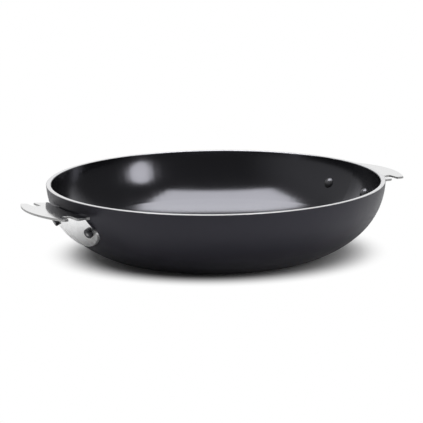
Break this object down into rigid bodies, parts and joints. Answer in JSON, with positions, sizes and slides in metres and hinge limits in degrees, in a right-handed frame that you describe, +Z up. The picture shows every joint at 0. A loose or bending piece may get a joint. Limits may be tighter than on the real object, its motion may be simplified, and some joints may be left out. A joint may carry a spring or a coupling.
{
  "type": "frying pan",
  "caption": "Round deep frying pan in dark coated aluminium with a bare rim and two riveted steel lugs for a clip-on handle.",
  "frame": {"origin": "centre of the base, on the surface that the pan stands on", "axes": "+Z up out of the open bowl, +X towards the right lug, so that both lugs lie on the X axis"},
  "size_m": [0.341, 0.28, 0.06],
  "materials": {
    "bowl": "charcoal coating outside, glossy black non-stick inside, bare rim",
    "base_steel": "brushed",
    "lug_steel": "polished with soft edges",
    "rivet": "dark coated"
  },
  "bodies": {
    "root": {"pan_body": "bowl", "base_disc": "base_steel", "lug_right": "lug_steel", "lug_left": "lug_steel", "rivet_right_front": "rivet", "rivet_right_rear": "rivet", "rivet_left_rear": "rivet", "rivet_left_front": "rivet"}
  },
  "joints": []
}
